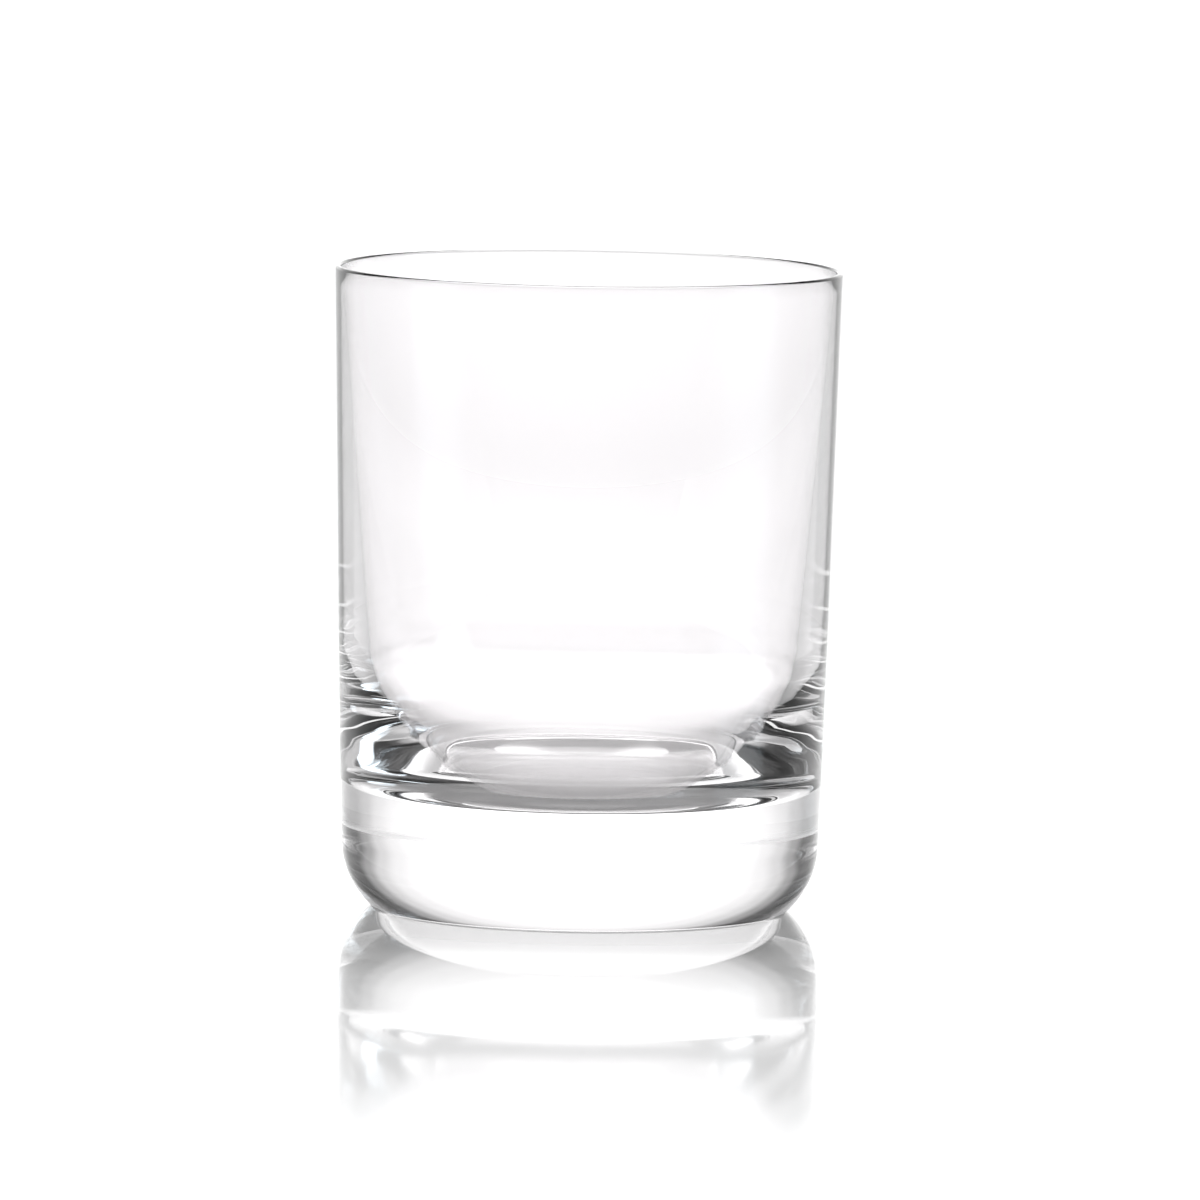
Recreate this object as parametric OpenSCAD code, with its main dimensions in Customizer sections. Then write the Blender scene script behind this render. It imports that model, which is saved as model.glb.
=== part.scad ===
// Whiskey tumbler: a straight, slightly tapered glass with a heavy solid base, made of one piece of glass.
// Millimetres, +Z up. The origin is the centre of the foot, on the surface that the glass stands on.

/* [Body] */
// Outer diameter at the rim
rim_d = 75; // [68:0.5:84]
// Outer diameter of the wall, run straight down to the standing surface
base_d = 70.4; // [66:0.2:74]
// Height from the standing surface to the top of the rim
height = 95; // [85:0.5:110]

/* [Wall] */
// Thickness of the wall just under the rim
rim_wall = 0.9; // [0.8:0.1:1.6]
// Thickness of the wall half way up
mid_wall = 3.8; // [3:0.1:4.4]

/* [Cup inside] */
// Height of the cup's floor in the middle
floor_z = 16; // [14:0.1:20]
// Radius of the shallow bowl that the floor forms
bowl_r = 250; // [150:10:600]
// Distance from the axis at which the floor begins to turn up
floor_r = 20.5; // [18:0.5:21.5]
// Radius of that turn
corner_r = 6.5; // [5:0.5:7.5]
// Radius of the slower curve that leads from the turn into the wall
shoulder_r = 40; // [30:1:50]

/* [Foot] */
// Radius of the rounded heel between wall and foot
heel_r = 14; // [10:0.5:16]
// Outer radius of the flat ring that the glass stands on
ring_r = 30.2; // [29:0.2:31]
// Width of that ring
ring_width = 1; // [0.6:0.1:2]
// Rounding on both sides of that ring
ring_edge_r = 1.1; // [0.8:0.1:1.5]
// Depth of the hollow under the base
punt_depth = 1.4; // [0.8:0.1:2]

/* [Hidden] */
// Sides of every turned surface
$fn = 180;
// Degrees of arc between two points of an outline
arc_step = 4;

// Radius gained by the outer and inner wall for each millimetre of height
outer_slope = (rim_d - base_d) / 2 / height;
inner_slope = outer_slope + (mid_wall - rim_wall) / (height / 2);

// Radius of the outer and inner wall at a height
function outer_r(z) = base_d / 2 + outer_slope * z;
function inner_r(z) = outer_r(height) - rim_wall - inner_slope * (height - z);

// Points along an arc about a centre, from one angle to another
function arc(centre, radius, from, to) =
    let (steps = ceil(abs(to - from) / arc_step))
    [for (i = [0:steps]) let (a = from + (to - from) * i / steps) centre + radius * [cos(a), sin(a)]];

// Height on the line r = start + slope * z at which it lies a given distance from a point;
// side picks the upper (1) or lower (-1) of the two answers
function height_at_distance(start, slope, point, distance, side) =
    let (
        a = 1 + slope * slope,
        b = slope * (start - point[0]) - point[1],
        c = pow(start - point[0], 2) + pow(point[1], 2) - distance * distance
    )
    (-b + side * sqrt(b * b - a * c)) / a;

// Angle of the line from one point to another
function direction(from, to) = atan2(to[1] - from[1], to[0] - from[0]);

// Heel: an arc tangent to the outer wall and to the outer rounding of the standing ring
ring_outer = [ring_r, ring_edge_r];
heel_line = outer_r(0) - heel_r / cos(atan(outer_slope));
heel_z = height_at_distance(heel_line, outer_slope, ring_outer, heel_r - ring_edge_r, 1);
heel_centre = [heel_line + outer_slope * heel_z, heel_z];
heel_end = direction(heel_centre, ring_outer);

// Punt: a shallow dome under the base, tangent to the inner rounding of the standing ring
ring_inner = [ring_r - ring_width, ring_edge_r];
punt_r = (pow(ring_inner[0], 2) + pow(punt_depth, 2) - 2 * ring_edge_r * punt_depth) / (2 * punt_depth);
punt_centre = [0, punt_depth - punt_r];
punt_end = direction(punt_centre, ring_inner);

// Floor: a shallow bowl, then a tight corner arc tangent to it
bowl_centre = [0, floor_z + bowl_r];
floor_end = asin(floor_r / bowl_r) - 90;
corner_centre = bowl_centre + (bowl_r - corner_r) * [cos(floor_end), sin(floor_end)];

// Shoulder: a wider arc tangent to the corner and to the inner wall
shoulder_line = inner_r(0) - shoulder_r / cos(atan(inner_slope));
shoulder_z = height_at_distance(shoulder_line, inner_slope, corner_centre, shoulder_r - corner_r, 1);
shoulder_centre = [shoulder_line + inner_slope * shoulder_z, shoulder_z];
shoulder_end = direction(shoulder_centre, corner_centre);

// Rim: a half-round bead on top of the wall
bead_r = rim_wall / 2;
bead_centre = [outer_r(height) - bead_r, height - bead_r];

module tumbler() {
    outside = concat(
        arc(punt_centre, punt_r, 90, punt_end),
        arc(ring_inner, ring_edge_r, punt_end - 180, -90),
        arc(ring_outer, ring_edge_r, -90, heel_end),
        arc(heel_centre, heel_r, heel_end, -atan(outer_slope))
    );
    rim = arc(bead_centre, bead_r, 0, 180);
    inside = concat(
        arc(shoulder_centre, shoulder_r, -atan(inner_slope), shoulder_end),
        arc(corner_centre, corner_r, shoulder_end, floor_end),
        arc(bowl_centre, bowl_r, floor_end, -90)
    );
    color([0.86, 0.93, 0.95, 0.45])
        rotate_extrude()
            polygon(concat(outside, rim, inside));
}

tumbler();
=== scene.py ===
"""Whiskey tumbler of clear glass, standing on a glossy pale floor in a bright studio."""

import math

import bpy
from mathutils import Matrix, Vector


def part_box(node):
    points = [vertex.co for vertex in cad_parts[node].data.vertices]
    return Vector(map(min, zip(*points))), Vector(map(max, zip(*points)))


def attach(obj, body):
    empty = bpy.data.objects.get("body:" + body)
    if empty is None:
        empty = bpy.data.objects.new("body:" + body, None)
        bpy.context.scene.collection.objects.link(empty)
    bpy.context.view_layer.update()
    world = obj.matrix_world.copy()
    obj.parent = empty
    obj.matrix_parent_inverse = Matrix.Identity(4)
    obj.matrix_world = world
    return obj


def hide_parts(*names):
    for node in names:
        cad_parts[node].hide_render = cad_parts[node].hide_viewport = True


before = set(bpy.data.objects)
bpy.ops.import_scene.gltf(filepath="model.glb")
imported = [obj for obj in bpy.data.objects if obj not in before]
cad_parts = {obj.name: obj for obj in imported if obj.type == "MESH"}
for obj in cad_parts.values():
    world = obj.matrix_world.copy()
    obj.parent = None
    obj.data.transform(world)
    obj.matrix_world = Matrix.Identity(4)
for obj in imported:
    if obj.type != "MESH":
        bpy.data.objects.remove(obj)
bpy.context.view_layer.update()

# Size of the glass. MM is one millimetre of it: the frame's tumbler is 95 of them high.
low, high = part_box("tumbler")
HEIGHT = high.z - low.z
MM = HEIGHT / 95
RIM_R = min(high.x, high.y)
BASE_R = 35.2 * MM                # the wall's radius, run straight down to the floor
RIM_WALL = 0.9 * MM
MID_WALL = 3.8 * MM               # wall thickness half way up
CUP_FLOOR = 16.0 * MM             # height of the cup's floor
BOWL_R = 250 * MM                 # the floor is part of a shallow bowl
FLOOR_R = 20.5 * MM               # the floor turns up here
CORNER_R = 6.5 * MM
SHOULDER_R = 40 * MM              # slower curve from the corner into the wall
HEEL_R = 14 * MM
RING_R = 30.2 * MM                # outer radius of the ring that the glass stands on
RING_WIDTH = 1.0 * MM
RING_EDGE_R = 1.1 * MM
PUNT_DEPTH = 1.4 * MM             # the hollow under the base
OUTER_SLOPE = (RIM_R - BASE_R) / HEIGHT
INNER_SLOPE = OUTER_SLOPE + (MID_WALL - RIM_WALL) / (HEIGHT / 2)

# Unevenness of the inner wall: how far it goes in and out, and the heights where it comes and goes. A slow
# wave has its number round the glass, its start and its twist over the height. A set of fine rings has its
# angle over the height, how far the rings sway up and down, how often round the glass, and where that starts.
# All angles here are in radians.
WAVE_DEPTH = 0.06 * MM
WAVE_COMES = (18 * MM, 25 * MM)
WAVE_GOES = (32 * MM, 50 * MM)
SLOW_WAVES = [(2, 0.7, 9), (3, -1.9, -13)]
FINE_RINGS = [(96, 2.2, 2, 0.5), (151, -1.7, 3, 0)]
FADE_TWIST = 6                    # the rings fade out at two opposite places, which turn with the height

# Fineness of the mesh: faces round the glass, rings on the straight walls, and degrees between the points
# of an arc
AROUND = 288
OUTER_WALL_RINGS = 40
INNER_WALL_RINGS = 80
DOME_STEP = 0.25
SHOULDER_STEP = 1.5
CORNER_STEP = 2.5
EDGE_STEP = 12
SAME_POINT = 0.001 * MM

GLASS_COLOUR = (1.0, 0.988, 0.996, 1)
GLASS_IOR = 1.52
LIGHT_BOUNCES = 24
MIRROR_BOUNCES = 12

# Light levels, all against angles in degrees: the panel by the angle from its middle, the room by the turn
# to the right of straight behind the glass and by the height, the ceiling by the height, and the lamp by
# the angle from its own middle. A softer light hangs high above the back and the sides, none of it over the
# camera. The horizon's level closes the view past the edge of the floor.
PANEL_WIDTH_TO_HEIGHT = 1.65
PANEL_LIGHT = [(0, 1.6), (24, 1.6), (33, 1.15), (40, 1.0), (47, 0.78), (54, 0.4), (62, 0.06), (70, 0)]
ROOM_LIGHT = [(-180, 0.25), (-140, 0.15), (-92, 0.08), (-84, 0.03),
              (80, 0.03), (88, 0.6), (140, 0.6), (180, 0.25)]
ROOM_HEIGHT = [(6, 1), (12, 0.1)]
CEILING_LIGHT = [(28, 0), (40, 0.12), (54, 0.12), (66, 0.45), (75, 0.75)]
HIGH_LIGHT = [(50, 0), (64, 0.8)]
HIGH_TURN = [(115, 1), (150, 0)]
HORIZON_LIGHT = [(-1, 0.64), (-0.6, 0.64), (-0.3, 0)]
LAMP_TURN = 98
LAMP_RISE = 11
LAMP_LIGHT = [(0, (1.7, 1.95, 2.1)), (12, (1.6, 1.85, 2.0)), (17, 0)]
BRIGHTEST = 4                     # above every level used here

# The floor against the distance from the glass's axis, in metres: its whiteness with painted shade close
# round the glass, its roughness, and painted light glowing from it
FLOOR_EDGE = 16
FLOOR_SIDES = 96
FLOOR_IOR = 1.45
# Painted shade: the floor's colour is dark under and close round the glass and pale further out, a soft
# contact shadow painted in
FLOOR_WHITE_WITH_PAINTED_SHADE = [(0, 0.25), (0.03, 0.25), (0.05, 0.35), (0.07, 0.5), (0.11, 0.75), (0.17, 0.8), (0.25, 0.9)]
FLOOR_ROUGHNESS = [(0, 0.02), (0.12, 0.02), (0.2, 0.06), (0.3, 0.18), (0.45, 0.3)]
# Painted light: the floor glows brighter further from the glass, light that comes from no lamp
FLOOR_PAINTED_LIGHT = [(0, 0), (0.07, 0), (0.2, 0.18), (0.35, 0.28), (0.6, 0.38)]
FOOT = (0, 0, 0)
# Painted pools of light glowing from the floor: a small bright one behind the glass and a wide soft one in
# front of it, both against the distance from their own centres
BEHIND_CENTRE = (0, 0.085, 0)
BEHIND_PAINTED_LIGHT_POOL = [(0, 1.0), (0.045, 0.95), (0.065, 0.5), (0.1, 0.14), (0.15, 0.04), (0.22, 0)]
FRONT_CENTRE = (0, -0.3, 0)
FRONT_PAINTED_LIGHT_POOL = [(0, 0.28), (0.16, 0.28), (0.22, 0.23), (0.27, 0.08), (0.34, 0)]

# Camera: a long lens from a little above the rim's level. It looks down and is tilted by these degrees, and
# it aims beside the middle of the glass.
CAMERA_DOWN = 5.55
CAMERA_TILT = 0.95
CAMERA_DISTANCE = 2.083
SENSOR_WIDTH = 36
LENS = 422.8
AIM_RIGHT = 2.38 * MM
AIM_DOWN = 1.75 * MM


# ---------------------------------------------------------------- outline of the glass, as (radius, height)

def outer_r(z):
    """Radius of the straight outer wall at a height."""
    return BASE_R + OUTER_SLOPE * z


def inner_r(z):
    """Radius of the straight inner wall at a height."""
    return RIM_R - RIM_WALL - INNER_SLOPE * (HEIGHT - z)


def arc(centre, radius, start, end, step):
    """Points along an arc; angles and step in degrees."""
    count = max(2, math.ceil(abs(end - start) / step))
    angles = [math.radians(start + (end - start) * i / count) for i in range(count + 1)]
    return [(centre[0] + radius * math.cos(a), centre[1] + radius * math.sin(a)) for a in angles]


def line(a, b, count):
    """Points between a and b, without the two ends."""
    return [(a[0] + (b[0] - a[0]) * i / count, a[1] + (b[1] - a[1]) * i / count) for i in range(1, count)]


def direction(a, b):
    """Angle in degrees of the line from a to b."""
    return math.degrees(math.atan2(b[1] - a[1], b[0] - a[0]))


def height_at_distance(start, slope, point, distance):
    """Upper height on the line r = start + slope * z at which it is a given distance from a point."""
    a = 1 + slope * slope
    b = slope * (start - point[0]) - point[1]
    c = (start - point[0]) ** 2 + point[1] ** 2 - distance ** 2
    return (-b + math.sqrt(b * b - a * c)) / a


def outside_outline():
    """From the middle of the punt over the standing ring and the heel to the end of the heel."""
    ring_outer = (RING_R, RING_EDGE_R)
    ring_inner = (RING_R - RING_WIDTH, RING_EDGE_R)
    lean = math.atan(OUTER_SLOPE)
    heel_line = outer_r(0) - HEEL_R / math.cos(lean)
    heel_z = height_at_distance(heel_line, OUTER_SLOPE, ring_outer, HEEL_R - RING_EDGE_R)
    heel = (heel_line + OUTER_SLOPE * heel_z, heel_z)
    heel_end = direction(heel, ring_outer)
    punt_r = (ring_inner[0] ** 2 + PUNT_DEPTH ** 2 - 2 * RING_EDGE_R * PUNT_DEPTH) / (2 * PUNT_DEPTH)
    punt = (0, PUNT_DEPTH - punt_r)
    punt_end = direction(punt, ring_inner)
    return (
        arc(punt, punt_r, 90, punt_end, DOME_STEP)
        + arc(ring_inner, RING_EDGE_R, punt_end - 180, -90, EDGE_STEP)
        + arc(ring_outer, RING_EDGE_R, -90, heel_end, EDGE_STEP)
        + arc(heel, HEEL_R, heel_end, -math.degrees(lean), CORNER_STEP)
    )


def rim_outline():
    """A half-round bead on top of the wall, from outside to inside."""
    bead = RIM_WALL / 2
    return arc((RIM_R - bead, HEIGHT - bead), bead, 0, 180, EDGE_STEP)


def inside_outline():
    """From the end of the straight inner wall down to the middle of the cup's floor."""
    lean = math.atan(INNER_SLOPE)
    bowl = (0, CUP_FLOOR + BOWL_R)
    floor_lean = math.asin(FLOOR_R / BOWL_R)
    floor_end = math.degrees(floor_lean) - 90
    reach = BOWL_R - CORNER_R
    corner = (reach * math.sin(floor_lean), bowl[1] - reach * math.cos(floor_lean))
    wall_line = inner_r(0) - SHOULDER_R / math.cos(lean)
    shoulder_z = height_at_distance(wall_line, INNER_SLOPE, corner, SHOULDER_R - CORNER_R)
    shoulder = (wall_line + INNER_SLOPE * shoulder_z, shoulder_z)
    shoulder_end = direction(shoulder, corner)
    return (
        arc(shoulder, SHOULDER_R, -math.degrees(lean), shoulder_end, SHOULDER_STEP)
        + arc(corner, CORNER_R, shoulder_end, floor_end, CORNER_STEP)
        + arc(bowl, BOWL_R, floor_end, -90, DOME_STEP)
    )


def smooth_step(value, start, end):
    """0 before start, 1 after end, and a smooth climb between them."""
    part = min(max((value - start) / (end - start), 0), 1)
    return part * part * (3 - 2 * part)


def unevenness(z):
    """How far the inner wall may go in and out at a height."""
    return WAVE_DEPTH * smooth_step(z, *WAVE_COMES) * (1 - smooth_step(z, *WAVE_GOES))


def wave(angle, z):
    """The inner wall's place within its unevenness, from -1 to 1: slow waves round it and fine rings."""
    u = z / HEIGHT
    slow = sum(math.sin(count * angle + start + twist * u) for count, start, twist in SLOW_WAVES)
    rings = sum(
        math.sin(climb * u + sway * math.sin(count * angle + start))
        for climb, sway, count, start in FINE_RINGS
    )
    total = slow + rings * math.sin(angle + FADE_TWIST * u)
    return total / (len(SLOW_WAVES) + len(FINE_RINGS))


def outline():
    """Points (radius, height, unevenness) from the punt's middle round to the cup's floor."""
    outside, rim, inside = outside_outline(), rim_outline(), inside_outline()
    outside += line(outside[-1], rim[0], OUTER_WALL_RINGS)
    inside = line(rim[-1], inside[0], INNER_WALL_RINGS) + inside
    points = [(r, z, 0.0) for r, z in outside + rim] + [(r, z, unevenness(z)) for r, z in inside]
    kept = [points[0]]
    for point in points[1:]:
        if math.dist(point[:2], kept[-1][:2]) > SAME_POINT:
            kept.append(point)
    return kept


def turned(name, points, sides):
    """A closed surface of revolution; points (radius, height, unevenness) run from the axis back to it."""
    rings = []
    vertices = []
    for radius, z, uneven in points:
        if radius < SAME_POINT:
            rings.append([len(vertices)] * sides)
            vertices.append((0, 0, z))
            continue
        rings.append(list(range(len(vertices), len(vertices) + sides)))
        for i in range(sides):
            angle = 2 * math.pi * i / sides
            here = radius + uneven * wave(angle, z)
            vertices.append((here * math.cos(angle), here * math.sin(angle), z))
    faces = []
    for lower, upper in zip(rings, rings[1:]):
        for i in range(sides):
            j = (i + 1) % sides
            corners = (lower[i], lower[j], upper[j], upper[i])
            # At the axis two corners are one point, and the face is a triangle
            faces.append(tuple(dict.fromkeys(corners)))
    mesh = bpy.data.meshes.new(name)
    mesh.from_pydata(vertices, [], faces)
    mesh.shade_smooth()
    piece = bpy.data.objects.new(name, mesh)
    bpy.context.scene.collection.objects.link(piece)
    return piece


# ---------------------------------------------------------------- shader helpers

def new_material(name):
    material = bpy.data.materials.new(name)
    material.use_nodes = True
    return material, material.node_tree, material.node_tree.nodes["Principled BSDF"]


def feed(tree, socket, value):
    """Link a node's output to a socket, or set the socket to a fixed value."""
    if isinstance(value, bpy.types.NodeSocket):
        tree.links.new(value, socket)
    else:
        socket.default_value = value


def math_node(tree, operation, *values):
    node = tree.nodes.new("ShaderNodeMath")
    node.operation = operation
    for socket, value in zip(node.inputs, values):
        feed(tree, socket, value)
    return node.outputs["Value"]


def vector_node(tree, operation, *values):
    """Vector maths, also used on colours."""
    node = tree.nodes.new("ShaderNodeVectorMath")
    node.operation = operation
    for socket, value in zip(node.inputs, values):
        feed(tree, socket, value)
    return node.outputs["Value" if operation == "LENGTH" else "Vector"]


def total_of(tree, colours):
    total = colours[0]
    for colour in colours[1:]:
        total = vector_node(tree, "ADD", total, colour)
    return total


def hypotenuse(tree, a, b):
    squares = math_node(tree, "ADD", math_node(tree, "POWER", a, 2), math_node(tree, "POWER", b, 2))
    return math_node(tree, "SQRT", squares)


def ramp(tree, value, stops):
    """Grey or coloured light levels against a value, unchanged before the first and after the last stop."""
    first, last = stops[0][0], stops[-1][0]
    spread = tree.nodes.new("ShaderNodeMapRange")
    spread.inputs["From Min"].default_value = first
    spread.inputs["From Max"].default_value = last
    tree.links.new(value, spread.inputs["Value"])
    node = tree.nodes.new("ShaderNodeValToRGB")
    node.color_ramp.interpolation = "EASE"
    elements = node.color_ramp.elements
    elements.remove(elements[-1])
    for i, (at, level) in enumerate(stops):
        place = (at - first) / (last - first)
        element = elements[0] if i == 0 else elements.new(place)
        element.position = place
        colour = level if isinstance(level, tuple) else (level, level, level)
        element.color = (*[c / BRIGHTEST for c in colour], 1)
    tree.links.new(spread.outputs["Result"], node.inputs["Fac"])
    return vector_node(tree, "MULTIPLY", node.outputs["Color"], (BRIGHTEST, BRIGHTEST, BRIGHTEST))


def by_distance(tree, place, centre, stops):
    """A ramp against the distance from a point on the floor."""
    shift = vector_node(tree, "SUBTRACT", place, centre)
    return ramp(tree, vector_node(tree, "LENGTH", shift), stops)


# ---------------------------------------------------------------- materials

def clear_glass():
    material, tree, shader = new_material("clear_glass")
    shader.inputs["Base Color"].default_value = GLASS_COLOUR
    shader.inputs["Roughness"].default_value = 0
    shader.inputs["IOR"].default_value = GLASS_IOR
    shader.inputs["Transmission Weight"].default_value = 1
    return material


def glossy_floor():
    """Pale gloss floor with painted shade in its colour and painted pools of light glowing from it, smooth
    close round the glass and duller further away.
    """
    material, tree, shader = new_material("studio_floor")
    place = tree.nodes.new("ShaderNodeTexCoord").outputs["Object"]
    # The floor's base colour carries painted shade, darker close round the glass
    tree.links.new(by_distance(tree, place, FOOT, FLOOR_WHITE_WITH_PAINTED_SHADE), shader.inputs["Base Color"])
    tree.links.new(by_distance(tree, place, FOOT, FLOOR_ROUGHNESS), shader.inputs["Roughness"])
    shader.inputs["IOR"].default_value = FLOOR_IOR
    # Painted light: emission glowing from the floor in soft pools round, behind and in front of the glass,
    # from no lamp
    painted_light = total_of(tree, [
        by_distance(tree, place, FOOT, FLOOR_PAINTED_LIGHT),
        by_distance(tree, place, BEHIND_CENTRE, BEHIND_PAINTED_LIGHT_POOL),
        by_distance(tree, place, FRONT_CENTRE, FRONT_PAINTED_LIGHT_POOL),
    ])
    tree.links.new(painted_light, shader.inputs["Emission Color"])
    shader.inputs["Emission Strength"].default_value = 1
    return material


# ---------------------------------------------------------------- studio

def studio_floor():
    angles = [2 * math.pi * i / FLOOR_SIDES for i in range(FLOOR_SIDES)]
    corners = [(FLOOR_EDGE * math.cos(a), FLOOR_EDGE * math.sin(a), 0) for a in angles]
    mesh = bpy.data.meshes.new("studio_floor")
    mesh.from_pydata(corners, [], [range(FLOOR_SIDES)])
    mesh.materials.append(glossy_floor())
    floor = bpy.data.objects.new("studio_floor", mesh)
    bpy.context.scene.collection.objects.link(floor)


def view_angles(tree):
    """Degrees to the right of straight behind the glass, and degrees above the floor."""
    split = tree.nodes.new("ShaderNodeSeparateXYZ")
    tree.links.new(tree.nodes.new("ShaderNodeTexCoord").outputs["Generated"], split.inputs[0])
    turn = math_node(tree, "ARCTAN2", split.outputs["X"], split.outputs["Y"])
    climb = math_node(tree, "ARCSINE", split.outputs["Z"])
    return math_node(tree, "DEGREES", turn), math_node(tree, "DEGREES", climb)


def panel_light(tree, turn, climb):
    """A wide oval panel behind the glass; its edge is reached sooner upwards than sideways."""
    rise = math_node(tree, "MULTIPLY", math_node(tree, "MAXIMUM", climb, 0), PANEL_WIDTH_TO_HEIGHT)
    return ramp(tree, hypotenuse(tree, turn, rise), PANEL_LIGHT)


def room_light(tree, turn, climb):
    """Walls round the glass, bright only close to the floor."""
    return vector_node(tree, "MULTIPLY", ramp(tree, turn, ROOM_LIGHT), ramp(tree, climb, ROOM_HEIGHT))


def high_light(tree, turn, climb):
    """A soft light high above the back and the sides."""
    either_side = ramp(tree, math_node(tree, "ABSOLUTE", turn), HIGH_TURN)
    return vector_node(tree, "MULTIPLY", either_side, ramp(tree, climb, HIGH_LIGHT))


def lamp_light(tree, turn, climb):
    """A round, slightly blue lamp to the right of the glass."""
    aside = math_node(tree, "SUBTRACT", turn, LAMP_TURN)
    above = math_node(tree, "SUBTRACT", climb, LAMP_RISE)
    return ramp(tree, hypotenuse(tree, aside, above), LAMP_LIGHT)


def studio_light():
    world = bpy.data.worlds.new("studio")
    bpy.context.scene.world = world
    world.use_nodes = True
    tree = world.node_tree
    turn, climb = view_angles(tree)
    light = total_of(tree, [
        panel_light(tree, turn, climb),
        room_light(tree, turn, climb),
        high_light(tree, turn, climb),
        lamp_light(tree, turn, climb),
        ramp(tree, climb, CEILING_LIGHT),
        ramp(tree, climb, HORIZON_LIGHT),
    ])
    tree.links.new(light, tree.nodes["Background"].inputs["Color"])


def studio_camera():
    down = math.radians(CAMERA_DOWN)
    forward = Vector((0, math.cos(down), -math.sin(down)))
    tilt = Matrix.Rotation(math.radians(CAMERA_TILT), 3, "Z")
    turn = forward.to_track_quat("-Z", "Y").to_matrix() @ tilt
    aim = Vector((0, 0, HEIGHT / 2)) + turn @ Vector((AIM_RIGHT, -AIM_DOWN, 0))
    data = bpy.data.cameras.new("camera")
    data.sensor_width = SENSOR_WIDTH
    data.lens = LENS
    camera = bpy.data.objects.new("camera", data)
    camera.location = aim - CAMERA_DISTANCE * forward
    camera.rotation_euler = turn.to_euler()
    bpy.context.scene.collection.objects.link(camera)
    bpy.context.scene.camera = camera


# ---------------------------------------------------------------- the scene

glass = turned("tumbler_glass", outline(), AROUND)
glass.data.materials.append(clear_glass())
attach(glass, "root")
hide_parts("tumbler")

studio_floor()
studio_light()
studio_camera()

scene = bpy.context.scene
scene.view_settings.view_transform = "Standard"
scene.cycles.max_bounces = LIGHT_BOUNCES
scene.cycles.transmission_bounces = LIGHT_BOUNCES
scene.cycles.glossy_bounces = MIRROR_BOUNCES
